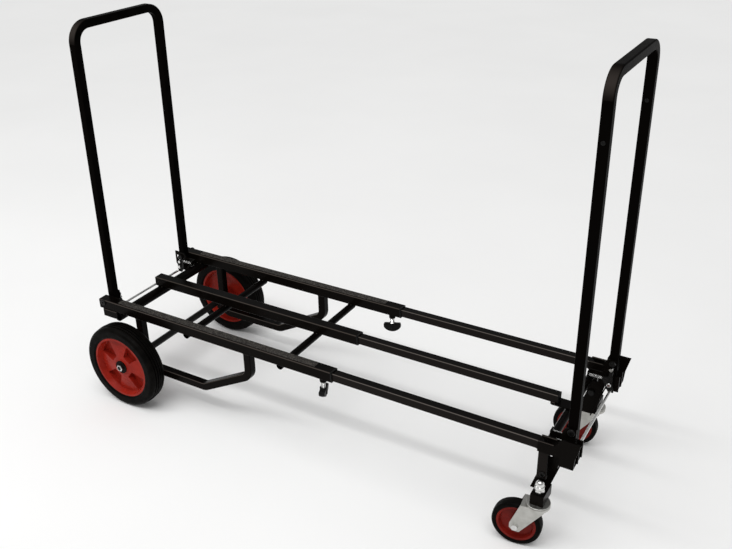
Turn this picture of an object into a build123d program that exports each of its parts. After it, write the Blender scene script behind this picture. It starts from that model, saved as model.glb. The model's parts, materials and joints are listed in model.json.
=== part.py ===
from build123d import *
from math import asin, cos, degrees, pi, radians, sin, sqrt, tan
import os

# Folding, telescopic stage platform cart, in millimetres.
# +X runs from the big wheels to the castors, the near side is -Y, the ground is Z 0.
# Stations along X are measured forward from the rear handle's legs.
# Drops are measured down from the top of the outer rails.

# Overall layout
rear_leg_x = -623.0
front_leg_station = 1240.0
axle_drop = 145.0
rail_y = 163.5

# Outer rails, which carry the load
rail_size = 26.5
rail_wall = 1.5
rail_corner = 2.5
rail_rear_station = -15.0
rail_front_station = 696.0
centre_rail_rear_station = 30.0
centre_rail_front_station = 667.0
end_cap_plug = 9.0
end_cap_dome = 3.0
end_cap_taper = 35.0
grip_width = 19.0
grip_thickness = 1.0
grip_corner_share = 1 / 6
grip_rear_station = 47.0
grip_front_station = 653.0

# Inner tubes, which slide in the rails and bend down to the castors
slide_size = 20.5
slide_wall = 1.5
slide_corner = 2.0
slide_overlap = 162.0
slide_clearance = 0.1
guide_length = 14.0
bush_length = 45.0
bush_flange = 4.0
castor_leg_station = 1194.0
castor_leg_drop = 91.0
castor_leg_bend = 18.0
centre_slide_front_station = 1165.0
tube_cap_depth = 10.0
tube_cap_lip = 2.0
foot_cap_clearance = 1.0

# Cross tubes
rear_cross_diameter = 26.0
rear_cross_station = 43.0
middle_cross_diameter = 18.0
middle_cross_station = 549.0
thin_cross_inset = 11.0
carrier_cross_station = 265.0
front_cross_diameter = 18.0
front_cross_station = 1191.0
round_tube_wall = 1.5
least_bore_corner = 0.5
weld_gap = 0.05
support_plate_thickness = 3.0
support_plate_width = 30.0
support_plate_rear_station = 1150.0
support_plate_corner = 6.0
support_plate_front_lap = 12.6

# Axle carriers under the rails
carrier_size = 20.0
carrier_wall = 1.5
carrier_corner = 2.0
carrier_rear_station = 113.0
carrier_low_station = 313.0
carrier_front_station = 458.0
carrier_low_drop = 170.0
carrier_knee_drop = 91.0
carrier_rear_bend = 25.0
carrier_low_bend = 30.0
carrier_knee_bend = 28.0
lug_thickness = 5.0
lug_above_axle = 14.0
lug_below_axle = 34.0
lug_behind_axle = 18.0
lug_ahead_of_carrier = 15.0

# Big wheels
axle_station = 92.0
axle_diameter = 18.0
axle_thread_diameter = 12.0
wheel_radius = 114.0
wheel_width = 50.0
wheel_gap = 14.25
tyre_depth = 30.0
tyre_side_inset = 3.0
tyre_bead = 5.0
tyre_shoulder = 11.0
tyre_crown = 1.5
tyre_groove_count = 4
tyre_groove_pitch = 7.5
tyre_groove_width = 2.8
tyre_groove_depth = 2.2
hub_boss_radius = 20.5
hub_inner_boss = 11.5
hub_outer_recess = 8.0
hub_inner_recess = 1.0
hub_boss_flare = 2.0
hub_rim_thickness = 5.0
hub_web_thickness = 13.0
hub_dish = 13.0
hub_window_count = 4
hub_window_from_boss = 8.5
hub_window_to_seat = 14.0
hub_window_crown = 3.0
hub_window_corner = 4.0
hub_window_half_angle = 22.0
hub_window_depth = 11.0
hub_turn = 52.0
running_clearance = 0.1
axle_washer_radius = 17.5
axle_washer_thickness = 2.0
axle_nut_radius = 9.5
axle_nut_height = 7.0
axle_nut_chamfer = 1.2
axle_end_recess = 1.5

# Folding handles, one shape for both ends; each leans a little towards the platform
rear_handle_lean = 0.7
front_handle_lean = -0.2
handle_size = 20.0
handle_wall = 1.5
handle_corner = 3.0
handle_side_gap = 0.75
handle_reach = 701.5
handle_bend = 40.0
handle_foot = 31.0
rear_pivot_drop = 7.0
front_pivot_rise = 24.0

# Outline of the rear brackets, from the handle's bolt
rear_wall_back = 20.0
rear_wall_front = 26.0
rear_wall_rise = 15.0
rear_wall_heel = 22.0
rear_wall_toe = 8.0
rear_wall_shoulder = 20.0
rear_wall_crest = 12.0
plain_wall_crest = 10.0
plain_wall_drop = 14.0
rear_floor_back = 5.0
rear_cheek_cut = 8.0
rear_cheek_step = 6.0
spring_tab_below = 6.0
spring_tab_above = 8.0
spring_tab_reach = 2.0

# Outline of the front brackets, from the handle's bolt
front_wall_front = 28.0
front_wall_tail = 12.0
front_wall_lower = 3.0
front_crest_rise = 9.0
front_crest_back = 6.0
front_shoulder_back = 14.0
front_shoulder_drop = 4.0
front_heel_back = 18.0
front_heel_drop = 13.0
front_floor_back = 9.0
front_floor_front = 19.0
front_collar_front = 10.0
front_slot_front = 7.0
front_step_drop = 4.5
front_tab_step = 13.0
front_chin_drop = 7.0
front_cheek_drop = 2.5
front_cheek_back = 12.0
front_cheek_front = 17.0
front_cheek_rise = 18.0
front_cheek_chin = 19.0
front_cheek_crest = 10.0
front_cheek_tail = 24.0

# Outline of the latch levers, from their bolts
lever_foot = 6.0
lever_back = 7.0
lever_neck = 5.0
front_lever_neck = 6.0
nose_root = 4.0
nose_front = 2.0
nose_back = 5.0
horn_half_height = 4.0

# Brackets, bolts and latches
plate = 3.0
bracket_gap = 0.5
pivot_diameter = 8.0
button_head_radius = 8.0
button_head_height = 3.5
button_head_round_share = 0.6
socket_radius = 2.9
socket_depth = 2.0
nut_radius = 7.5
nut_height = 5.5
thread_gap = 0.05
lock_pin_diameter = 8.0
lock_pin_arm = 12.0
lock_slot_clearance = 0.6
rear_bracket_depth = 47.0
front_bracket_depth = 46.0
lever_thickness = 4.0
lever_gap = 1.0
lever_bolt_diameter = 6.0
lever_bolt_head_radius = 5.0
lever_bolt_head_height = 3.4
lever_bolt_round_share = 0.5
rear_lever_drop = 34.0
front_lever_drop = 26.0
rear_rod_drop = 43.0
front_rod_drop = 38.0
front_rod_ahead = 5.0
rod_diameter = 6.0
nose_clearance = 0.6
spring_drop = 13.0
spring_wire = 1.3
spring_coil_diameter = 7.2
spring_turns = 11
spring_pitch = 2.6
spring_seat_gap = 0.3
horn_inner = 10.0
horn_width = 6.0

# Clamp screws under the rail mouths
clamp_station = 669.0
clamp_boss_radius = 8.0
clamp_boss_height = 12.0
clamp_boss_flare = 6.0
clamp_screw_diameter = 10.0
clamp_screw_shown = 17.0
clamp_hole_clearance = 1.0
clamp_tip_gap = 0.05
knob_width = 45.0
knob_height = 21.5
knob_thickness = 14.0
knob_draft = 10.0
knob_waist = 13.0
knob_corner = 4.0
knob_hub_radius = 9.0
near_knob_turn = 110.0
far_knob_turn = 25.0

# Castors and their arms
castor_station = 1198.0
castor_out = 24.5
castor_radius = 53.0
castor_width = 26.0
castor_trail = 40.0
castor_tyre_depth = 11.0
castor_tyre_inset = 2.0
castor_tyre_bead = 3.0
castor_tyre_shoulder = 5.0
castor_tyre_crown = 0.6
castor_rim_wall = 5.0
castor_rim_slope = 3.0
castor_web = 7.0
castor_boss_wall = 5.0
castor_boss_flare = 3.0
castor_crown_gap = 3.0
castor_fork_plate = 3.0
castor_fork_gap = 3.0
fork_crown_rear = 32.0
fork_crown_front = 16.0
fork_foot_rear = 12.0
fork_foot_front = 9.0
fork_foot_drop = 12.0
fork_foot_rise = 6.0
fork_foot_corner = 7.0
fork_lip = 3.0
castor_race_radius = 25.0
castor_race_height = 3.0
castor_race_round = 1.2
castor_play = 0.3
castor_stem_diameter = 12.0
castor_stem_head_radius = 9.0
castor_stem_head_height = 4.5
castor_block_length = 28.0
castor_block_height = 25.0
castor_hex_radius = 10.5
castor_hex_height = 9.0
castor_cap_radius = 10.0
castor_cap_height = 20.0
castor_cap_chamfer = 1.5
castor_cap_step = 1.5
castor_axle_diameter = 8.0
castor_axle_nut_radius = 7.0
castor_axle_nut_height = 5.0
arm_width = 35.5
arm_top_station = 1212.0
arm_bottom_station = 1184.5
arm_top_drop = 50.0
arm_flange = 10.0
arm_tab_width = 23.0
arm_tab_rise = 17.0
arm_bolt_station = 1196.0
arm_bolt_above_foot = 10.0
arm_bolt_head_radius = 6.0
near_castor_turn = 6.0
far_castor_turn = 2.0

# Places that several pieces share
front_leg_x = rear_leg_x + front_leg_station
rail_top = wheel_radius + axle_drop
rail_bore = rail_size - 2 * rail_wall
rail_bore_corner = max(rail_corner - rail_wall, least_bore_corner)
rail_bottom = rail_top - rail_size
rail_mid = rail_top - rail_size / 2
rail_inner_face = rail_y - rail_size / 2
rail_outer_face = rail_y + rail_size / 2
slide_bore = slide_size - 2 * slide_wall
slide_bore_corner = max(slide_corner - slide_wall, least_bore_corner)
slide_bottom = rail_mid - slide_size / 2
slide_inner_face = rail_y - slide_size / 2
slide_outer_face = rail_y + slide_size / 2
slide_rear_station = rail_front_station - slide_overlap
handle_y = rail_inner_face - handle_side_gap - handle_size / 2
inner_wall_out = handle_y - handle_size / 2 - bracket_gap
inner_wall_in = inner_wall_out - plate
lever_out = inner_wall_in - nut_height - lever_gap
lever_in = lever_out - lever_thickness
spring_y = (lever_in + lever_out) / 2
rear_pivot_z = rail_top - rear_pivot_drop
head_round = button_head_height * button_head_round_share
front_pivot_z = rail_top + front_pivot_rise
axle_x = rear_leg_x + axle_station
axle_z = wheel_radius
wheel_in = rail_outer_face + wheel_gap
wheel_out = wheel_in + wheel_width
carrier_outer_face = rail_y + carrier_size / 2
tyre_seat_radius = wheel_radius - tyre_depth
hub_boss_in = wheel_in - hub_inner_boss
hub_boss_out = wheel_out - hub_outer_recess
clamp_x = rear_leg_x + clamp_station
arm_bolt_drop = castor_leg_drop - arm_bolt_above_foot
castor_x = rear_leg_x + castor_station
castor_y = rail_y + castor_out
castor_rim_radius = castor_radius - castor_tyre_depth
crown_bottom = 2 * castor_radius + castor_crown_gap
crown_top = crown_bottom + castor_fork_plate
race_bottom = crown_top + castor_race_height + castor_play
block_bottom = race_bottom + castor_race_height
block_top = block_bottom + castor_block_height
block_out = castor_y + castor_block_length / 2
fork_in = castor_width / 2 + castor_fork_gap
fork_out = fork_in + castor_fork_plate
spring_length = spring_turns * spring_pitch
both_sides = (("near", -1.0), ("far", 1.0))

os.makedirs("parts", exist_ok=True)


def at(station):
    """X of a station measured from the rear handle's legs."""
    return rear_leg_x + station


def side_plane(side, inner, outer):
    """Plane facing -Y from which an extrusion of outer - inner fills that span on one side."""
    return Plane(origin=(0, max(side * inner, side * outer), 0), x_dir=(1, 0, 0), z_dir=(0, -1, 0))


def save(piece, name):
    piece.part.label = name
    export_step(piece.part, "parts/" + name + ".step")


# Outer side rails, drilled for the handle bolt and, underneath, for the clamp screw
for name, side in both_sides:
    with BuildPart() as outer_rail:
        with BuildSketch(Plane.YZ.offset(at(rail_rear_station))):
            with Locations((side * rail_y, rail_mid)):
                RectangleRounded(rail_size, rail_size, rail_corner)
                RectangleRounded(rail_bore, rail_bore, rail_bore_corner, mode=Mode.SUBTRACT)
        extrude(amount=rail_front_station - rail_rear_station)
        with BuildSketch(side_plane(side, rail_inner_face, rail_outer_face)):
            with Locations((rear_leg_x, rear_pivot_z)):
                Circle(pivot_diameter / 2)
        extrude(amount=rail_size, mode=Mode.SUBTRACT)
        with BuildSketch(Plane.XY.offset(rail_bottom)):
            with Locations((clamp_x, side * rail_y)):
                Circle(clamp_screw_diameter / 2 + clamp_hole_clearance)
        extrude(amount=rail_wall, mode=Mode.SUBTRACT)
    save(outer_rail, name + "_outer_rail")

# Outer rail down the middle
with BuildPart() as centre_outer_rail:
    with BuildSketch(Plane.YZ.offset(at(centre_rail_rear_station))):
        with Locations((0, rail_mid)):
            RectangleRounded(rail_size, rail_size, rail_corner)
            RectangleRounded(rail_bore, rail_bore, rail_bore_corner, mode=Mode.SUBTRACT)
    extrude(amount=centre_rail_front_station - centre_rail_rear_station)
save(centre_outer_rail, "centre_outer_rail")

# Plastic caps in the rear ends of the three outer rails
with BuildPart() as rail_end_caps:
    for cap_y, cap_station in (
        (-rail_y, rail_rear_station),
        (0, centre_rail_rear_station),
        (rail_y, rail_rear_station),
    ):
        with BuildSketch(Plane.YZ.offset(at(cap_station))):
            with Locations((cap_y, rail_mid)):
                RectangleRounded(rail_bore, rail_bore, rail_bore_corner)
        extrude(amount=end_cap_plug)
        with BuildSketch(Plane.YZ.offset(at(cap_station))):
            with Locations((cap_y, rail_mid)):
                RectangleRounded(rail_size, rail_size, rail_corner)
        extrude(amount=-end_cap_dome, taper=end_cap_taper)
save(rail_end_caps, "rail_end_caps")

# Grip strips along the tops of the side rails
with BuildPart() as grip_strips:
    with BuildSketch(Plane.XY.offset(rail_top)):
        for side in (-1, 1):
            with Locations((at((grip_rear_station + grip_front_station) / 2), side * rail_y)):
                RectangleRounded(
                    grip_front_station - grip_rear_station,
                    grip_width,
                    grip_width * grip_corner_share,
                )
    extrude(amount=grip_thickness)
save(grip_strips, "grip_strips")

# Plastic bushes in the front mouths of the outer rails, where the inner tubes slide
bush_bore = slide_size + 2 * slide_clearance
with BuildPart() as tube_bushes:
    for bush_y, mouth in (
        (-rail_y, rail_front_station),
        (0, centre_rail_front_station),
        (rail_y, rail_front_station),
    ):
        with BuildSketch(Plane.YZ.offset(at(mouth - bush_length))):
            with Locations((bush_y, rail_mid)):
                RectangleRounded(rail_bore, rail_bore, rail_bore_corner)
        extrude(amount=bush_length)
        with BuildSketch(Plane.YZ.offset(at(mouth))):
            with Locations((bush_y, rail_mid)):
                RectangleRounded(rail_size, rail_size, rail_corner)
        extrude(amount=bush_flange)
        with BuildSketch(Plane.YZ.offset(at(mouth - bush_length))):
            with Locations((bush_y, rail_mid)):
                RectangleRounded(bush_bore, bush_bore, slide_corner)
        extrude(amount=bush_length + bush_flange, mode=Mode.SUBTRACT)
    with BuildSketch(Plane.XY.offset(rail_bottom)):
        for side in (-1, 1):
            with Locations((clamp_x, side * rail_y)):
                Circle(clamp_screw_diameter / 2 + clamp_hole_clearance)
    extrude(amount=rail_size / 2, mode=Mode.SUBTRACT)
save(tube_bushes, "tube_bushes")

# Round tube across the rear, under the rails
rear_cross_z = rail_bottom - weld_gap - rear_cross_diameter / 2
with BuildPart() as rear_cross_tube:
    with BuildSketch(side_plane(1, -(rail_outer_face - plate), rail_outer_face - plate)):
        with Locations((at(rear_cross_station), rear_cross_z)):
            Circle(rear_cross_diameter / 2)
            Circle(rear_cross_diameter / 2 - round_tube_wall, mode=Mode.SUBTRACT)
    extrude(amount=2 * (rail_outer_face - plate))
save(rear_cross_tube, "rear_cross_tube")

# Two thinner tubes across, further forward
middle_cross_z = rail_bottom - weld_gap - middle_cross_diameter / 2
thin_cross_end = rail_outer_face - thin_cross_inset
for name, station in (("carrier", carrier_cross_station), ("middle", middle_cross_station)):
    with BuildPart() as thin_cross_tube:
        with BuildSketch(side_plane(1, -thin_cross_end, thin_cross_end)):
            with Locations((at(station), middle_cross_z)):
                Circle(middle_cross_diameter / 2)
                Circle(middle_cross_diameter / 2 - round_tube_wall, mode=Mode.SUBTRACT)
        extrude(amount=2 * thin_cross_end)
    save(thin_cross_tube, name + "_cross_tube")

# Bent square tubes that carry the axle, each with a welded axle lug
low_z = rail_top - carrier_low_drop
carrier_route = [
    (at(carrier_rear_station), rail_bottom),
    (at(carrier_rear_station), low_z),
    (at(carrier_low_station), low_z),
    (at(carrier_front_station), rail_top - carrier_knee_drop),
    (at(carrier_front_station), rail_bottom),
]
lug_rear = axle_x - lug_behind_axle
lug_front = at(carrier_rear_station) + lug_ahead_of_carrier
for name, side in both_sides:
    with BuildPart() as axle_carrier:
        carrier_plane = Plane(origin=(0, side * rail_y, 0), x_dir=(1, 0, 0), z_dir=(0, -1, 0))
        with BuildLine(carrier_plane) as carrier_line:
            FilletPolyline(*carrier_route, radius=(carrier_rear_bend, carrier_low_bend, carrier_knee_bend))
        with BuildSketch(Plane(origin=carrier_line.line @ 0, x_dir=(0, 1, 0), z_dir=carrier_line.line % 0)):
            RectangleRounded(carrier_size, carrier_size, carrier_corner)
            RectangleRounded(
                carrier_size - 2 * carrier_wall,
                carrier_size - 2 * carrier_wall,
                max(carrier_corner - carrier_wall, least_bore_corner),
                mode=Mode.SUBTRACT,
            )
        sweep()
        with BuildSketch(side_plane(side, carrier_outer_face, carrier_outer_face + lug_thickness)):
            with Locations(((lug_rear + lug_front) / 2, axle_z + (lug_above_axle - lug_below_axle) / 2)):
                RectangleRounded(lug_front - lug_rear, lug_above_axle + lug_below_axle, lug_above_axle / 2)
            with Locations((axle_x, axle_z)):
                Circle(axle_diameter / 2, mode=Mode.SUBTRACT)
        extrude(amount=lug_thickness)
    save(axle_carrier, name + "_axle_carrier")

# Steel axle through both lugs, turned down at its ends for the nuts
axle_step = hub_boss_out + running_clearance
axle_end = axle_step + axle_washer_thickness + axle_nut_height - axle_end_recess
with BuildPart() as wheel_axle:
    with BuildSketch(side_plane(1, -axle_step, axle_step)):
        with Locations((axle_x, axle_z)):
            Circle(axle_diameter / 2)
    extrude(amount=2 * axle_step)
    with BuildSketch(side_plane(1, -axle_end, axle_end)):
        with Locations((axle_x, axle_z)):
            Circle(axle_thread_diameter / 2)
    extrude(amount=2 * axle_end)
save(wheel_axle, "wheel_axle")

# Washers and nuts on the axle's ends
with BuildPart() as axle_washers:
    with BuildSketch(side_plane(1, axle_step, axle_step + axle_washer_thickness)):
        with Locations((axle_x, axle_z)):
            Circle(axle_washer_radius)
            Circle(axle_thread_diameter / 2, mode=Mode.SUBTRACT)
    extrude(amount=axle_washer_thickness)
    mirror(about=Plane.XZ)
save(axle_washers, "axle_washers")

with BuildPart() as axle_nuts:
    nut_start = axle_step + axle_washer_thickness
    with BuildSketch(side_plane(1, nut_start, nut_start + axle_nut_height)):
        with Locations((axle_x, axle_z)):
            RegularPolygon(axle_nut_radius, 6)
            Circle(axle_thread_diameter / 2, mode=Mode.SUBTRACT)
    extrude(amount=axle_nut_height)
    chamfer(axle_nuts.faces().sort_by(Axis.Y)[-1].edges().filter_by(GeomType.LINE), axle_nut_chamfer)
    mirror(about=Plane.XZ)
save(axle_nuts, "axle_nuts")

# Big wheels: ribbed rubber tyre on a red moulded hub that turns on the axle
wheel_axis = Axis((axle_x, 0, axle_z), (0, 1, 0))
wheel_mid = (wheel_in + wheel_out) / 2
hub_bore = axle_diameter / 2 + running_clearance
rim_in = wheel_in + tyre_side_inset
rim_out = wheel_out - tyre_side_inset
hub_rim_in = rim_in + hub_inner_recess
web_mid = rim_out - hub_dish
web_back = web_mid - hub_web_thickness
shoulder_start = wheel_radius - tyre_crown - tyre_shoulder
shoulder_side = tyre_shoulder * (1 - cos(pi / 4))
window_inner = hub_boss_radius + hub_window_from_boss
window_outer = tyre_seat_radius - hub_window_to_seat
for name, side in both_sides:
    wheel_section = Plane(origin=(axle_x, 0, axle_z), x_dir=(0, side, 0), z_dir=(side, 0, 0))
    with BuildPart() as tyre:
        with BuildSketch(wheel_section):
            with BuildLine():
                Polyline(
                    (wheel_in, shoulder_start),
                    (wheel_in, tyre_seat_radius + tyre_bead),
                    (rim_in, tyre_seat_radius),
                    (rim_out, tyre_seat_radius),
                    (wheel_out, tyre_seat_radius + tyre_bead),
                    (wheel_out, shoulder_start),
                )
                ThreePointArc(
                    (wheel_out, shoulder_start),
                    (wheel_out - shoulder_side, shoulder_start + tyre_shoulder - shoulder_side),
                    (wheel_out - tyre_shoulder, shoulder_start + tyre_shoulder),
                )
                Polyline(
                    (wheel_out - tyre_shoulder, shoulder_start + tyre_shoulder),
                    (wheel_mid, wheel_radius),
                    (wheel_in + tyre_shoulder, shoulder_start + tyre_shoulder),
                )
                ThreePointArc(
                    (wheel_in + tyre_shoulder, shoulder_start + tyre_shoulder),
                    (wheel_in + shoulder_side, shoulder_start + tyre_shoulder - shoulder_side),
                    (wheel_in, shoulder_start),
                )
            make_face()
            with Locations((wheel_mid, wheel_radius)):
                with GridLocations(tyre_groove_pitch, 1, tyre_groove_count, 1):
                    Rectangle(tyre_groove_width, 2 * (tyre_groove_depth + tyre_crown), mode=Mode.SUBTRACT)
        revolve(axis=wheel_axis)
    save(tyre, name + "_tyre")

    with BuildPart() as hub:
        with BuildSketch(wheel_section):
            with BuildLine():
                Polyline(
                    (hub_boss_in, hub_bore),
                    (hub_boss_in, hub_boss_radius),
                    (web_back, hub_boss_radius + hub_boss_flare),
                    (web_back, tyre_seat_radius - 2 * hub_rim_thickness),
                    (hub_rim_in, tyre_seat_radius - hub_rim_thickness),
                    (hub_rim_in, tyre_seat_radius),
                    (rim_out, tyre_seat_radius),
                    (rim_out, tyre_seat_radius - hub_rim_thickness),
                    (web_mid, tyre_seat_radius - 2 * hub_rim_thickness),
                    (web_mid + hub_dish / 2, hub_boss_radius + hub_boss_flare),
                    (hub_boss_out, hub_boss_radius),
                    (hub_boss_out, hub_bore),
                    close=True,
                )
            make_face()
        revolve(axis=wheel_axis)
        window_angle = radians(hub_window_half_angle)
        window_face = Plane(origin=(axle_x, side * rim_out, axle_z), x_dir=(1, 0, 0), z_dir=(0, side, 0))
        with BuildSketch(window_face):
            with PolarLocations(0, hub_window_count, start_angle=hub_turn):
                Polygon(
                    (window_inner, -window_inner * tan(window_angle)),
                    (window_outer, -window_outer * tan(window_angle) + hub_window_corner),
                    (window_outer + hub_window_crown, 0),
                    (window_outer, window_outer * tan(window_angle) - hub_window_corner),
                    (window_inner, window_inner * tan(window_angle)),
                    align=None,
                )
        extrude(amount=-(hub_dish + hub_window_depth), mode=Mode.SUBTRACT)
    save(hub, name + "_hub")

# U-shaped handles; each leg turns on a bolt and carries a lock pin below it
handle_ends = (
    ("rear", rear_leg_x, rear_pivot_z, rear_handle_lean),
    ("front", front_leg_x, front_pivot_z, front_handle_lean),
)
for name, leg_x, pivot_z, lean in handle_ends:
    leg_up = (sin(radians(lean)), 0, cos(radians(lean)))
    leg_front = (cos(radians(lean)), 0, -sin(radians(lean)))
    pin_place = (leg_x - lock_pin_arm * leg_up[0], pivot_z - lock_pin_arm * leg_up[2])
    with BuildPart() as handle_tube:
        with BuildLine(Plane(origin=(leg_x, 0, pivot_z), x_dir=(0, 1, 0), z_dir=leg_front)) as handle_line:
            FilletPolyline(
                (-handle_y, -handle_foot),
                (-handle_y, handle_reach),
                (handle_y, handle_reach),
                (handle_y, -handle_foot),
                radius=handle_bend,
            )
        with BuildSketch(Plane(origin=handle_line.line @ 0, x_dir=leg_front, z_dir=leg_up)):
            RectangleRounded(handle_size, handle_size, handle_corner)
            RectangleRounded(
                handle_size - 2 * handle_wall,
                handle_size - 2 * handle_wall,
                max(handle_corner - handle_wall, least_bore_corner),
                mode=Mode.SUBTRACT,
            )
        sweep()
        with BuildSketch(side_plane(1, -rail_y, rail_y)):
            with Locations((leg_x, pivot_z)):
                Circle(pivot_diameter / 2 + running_clearance)
        extrude(amount=2 * rail_y, mode=Mode.SUBTRACT)
        pin_from = handle_y + handle_size / 2 - handle_wall
        with BuildSketch(side_plane(1, -pin_from, pin_from)):
            with Locations(pin_place):
                Circle(lock_pin_diameter / 2)
        extrude(amount=2 * pin_from, mode=Mode.SUBTRACT)
    save(handle_tube, name + "_handle_tube")

    with BuildPart() as lock_pins:
        with BuildSketch(side_plane(1, lever_in, pin_from)):
            with Locations(pin_place):
                Circle(lock_pin_diameter / 2)
        extrude(amount=pin_from - lever_in)
        mirror(about=Plane.XZ)
    save(lock_pins, name + "_lock_pins")

# Rear brackets: a channel under the rail's end with an inner wall beside the handle's leg.
# The far wall has a tab for the spring, the near wall is plain
slot_radius = lock_pin_diameter / 2 + lock_slot_clearance
coil_girth = pi * (spring_coil_diameter - spring_wire)
spring_lead = spring_wire * spring_pitch / sqrt(spring_pitch**2 + coil_girth**2)
tab_rear = horn_inner + horn_width + 2 * spring_seat_gap + spring_length + spring_wire + 2 * spring_lead
tab_height = spring_tab_below + spring_tab_above
tab_offset = (spring_tab_above - spring_tab_below) / 2
rear_bottom = rail_top - rear_bracket_depth
spring_z = rail_top - spring_drop
rear_lever_z = rail_top - rear_lever_drop
front_lever_z = rail_top - front_lever_drop
plain_front = (
    (rear_leg_x + rear_wall_front, rear_pivot_z - plain_wall_drop),
    (rear_leg_x + plain_wall_crest, rear_pivot_z - plain_wall_drop),
    (rear_leg_x + plain_wall_crest, rear_pivot_z + rear_wall_rise),
)
tabbed_front = (
    (rear_leg_x + rear_wall_front, spring_z - spring_tab_below),
    (rear_leg_x + tab_rear + plate, spring_z - spring_tab_below),
    (rear_leg_x + tab_rear + plate, spring_z + spring_tab_above),
    (rear_leg_x + rear_wall_shoulder, spring_z + spring_tab_above),
    (rear_leg_x + rear_wall_crest, rear_pivot_z + rear_wall_rise),
)
for name, side, wall_front in (("near", -1.0, plain_front), ("far", 1.0, tabbed_front)):
    with BuildPart() as rear_bracket:
        with BuildSketch(side_plane(side, inner_wall_in, inner_wall_out)):
            Polygon(
                (rear_leg_x - rear_wall_back, rear_pivot_z + rear_wall_rise),
                (rear_leg_x - rear_wall_back, rear_pivot_z - rear_wall_heel),
                (rear_leg_x - rear_wall_toe, rear_bottom),
                (rear_leg_x + rear_wall_front, rear_bottom),
                *wall_front,
                align=None,
            )
            with Locations((rear_leg_x, rear_pivot_z)):
                Circle(pivot_diameter / 2, mode=Mode.SUBTRACT)
            with Locations((rear_leg_x, rear_lever_z)):
                Circle(lever_bolt_diameter / 2, mode=Mode.SUBTRACT)
            with BuildLine():
                slot_outer = CenterArc((rear_leg_x, rear_pivot_z), lock_pin_arm + slot_radius, 180, 90)
                slot_inner = CenterArc((rear_leg_x, rear_pivot_z), lock_pin_arm - slot_radius, 180, 90)
                upper_end = (rear_leg_x - lock_pin_arm, rear_pivot_z + slot_radius)
                lower_end = (rear_leg_x + slot_radius, rear_pivot_z - lock_pin_arm)
                ThreePointArc(slot_outer @ 0, upper_end, slot_inner @ 0)
                ThreePointArc(slot_outer @ 1, lower_end, slot_inner @ 1)
            make_face(mode=Mode.SUBTRACT)
        extrude(amount=plate)
        if wall_front is tabbed_front:
            with BuildSketch(side_plane(side, lever_in - spring_tab_reach, inner_wall_out)):
                with Locations((rear_leg_x + tab_rear + plate / 2, spring_z + tab_offset)):
                    Rectangle(plate, tab_height)
            extrude(amount=inner_wall_out - lever_in + spring_tab_reach)
        with BuildSketch(side_plane(side, inner_wall_in, rail_outer_face)):
            with Locations((rear_leg_x + (rear_wall_front - rear_floor_back) / 2, rear_bottom + plate / 2)):
                Rectangle(rear_wall_front + rear_floor_back, plate)
        extrude(amount=rail_outer_face - inner_wall_in)
        with BuildSketch(side_plane(side, rail_outer_face - plate, rail_outer_face)):
            Polygon(
                (rear_leg_x - rear_floor_back, rail_bottom),
                (rear_leg_x - rear_floor_back, rear_bottom),
                (at(rear_cross_station) - rear_cheek_cut, rear_bottom),
                (at(rear_cross_station), rear_bottom + rear_cheek_step),
                (at(rear_cross_station), rail_bottom),
                align=None,
            )
        extrude(amount=plate)
    save(rear_bracket, name + "_rear_bracket")

# Bolts and nuts that the rear handle turns on
with BuildPart() as rear_pivot_bolts:
    with BuildSketch(side_plane(1, inner_wall_in - nut_height, rail_outer_face)):
        with Locations((rear_leg_x, rear_pivot_z)):
            Circle(pivot_diameter / 2)
    extrude(amount=rail_outer_face - inner_wall_in + nut_height)
    with BuildSketch(side_plane(1, rail_outer_face, rail_outer_face + button_head_height)):
        with Locations((rear_leg_x, rear_pivot_z)):
            Circle(button_head_radius)
    extrude(amount=button_head_height)
    fillet(rear_pivot_bolts.faces().sort_by(Axis.Y)[-1].edges(), head_round)
    head_face = rail_outer_face + button_head_height
    with BuildSketch(side_plane(1, head_face - socket_depth, head_face)):
        with Locations((rear_leg_x, rear_pivot_z)):
            RegularPolygon(socket_radius, 6)
    extrude(amount=socket_depth, mode=Mode.SUBTRACT)
    with BuildSketch(side_plane(1, inner_wall_in - nut_height, inner_wall_in)):
        with Locations((rear_leg_x, rear_pivot_z)):
            RegularPolygon(nut_radius, 6)
            Circle(pivot_diameter / 2 + thread_gap, mode=Mode.SUBTRACT)
    extrude(amount=nut_height)
    mirror(about=Plane.XZ)
save(rear_pivot_bolts, "rear_pivot_bolts")

# The same for the front handle, headed on the bracket's middle wall
with BuildPart() as front_pivot_bolts:
    with BuildSketch(side_plane(1, inner_wall_in - nut_height, slide_inner_face)):
        with Locations((front_leg_x, front_pivot_z)):
            Circle(pivot_diameter / 2)
    extrude(amount=slide_inner_face - inner_wall_in + nut_height)
    with BuildSketch(side_plane(1, slide_inner_face, slide_inner_face + button_head_height)):
        with Locations((front_leg_x, front_pivot_z)):
            Circle(button_head_radius)
    extrude(amount=button_head_height)
    fillet(front_pivot_bolts.faces().sort_by(Axis.Y)[-1].edges(), head_round)
    head_face = slide_inner_face + button_head_height
    with BuildSketch(side_plane(1, head_face - socket_depth, head_face)):
        with Locations((front_leg_x, front_pivot_z)):
            RegularPolygon(socket_radius, 6)
    extrude(amount=socket_depth, mode=Mode.SUBTRACT)
    with BuildSketch(side_plane(1, inner_wall_in - nut_height, inner_wall_in)):
        with Locations((front_leg_x, front_pivot_z)):
            RegularPolygon(nut_radius, 6)
            Circle(pivot_diameter / 2 + thread_gap, mode=Mode.SUBTRACT)
    extrude(amount=nut_height)
    mirror(about=Plane.XZ)
save(front_pivot_bolts, "front_pivot_bolts")

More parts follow.
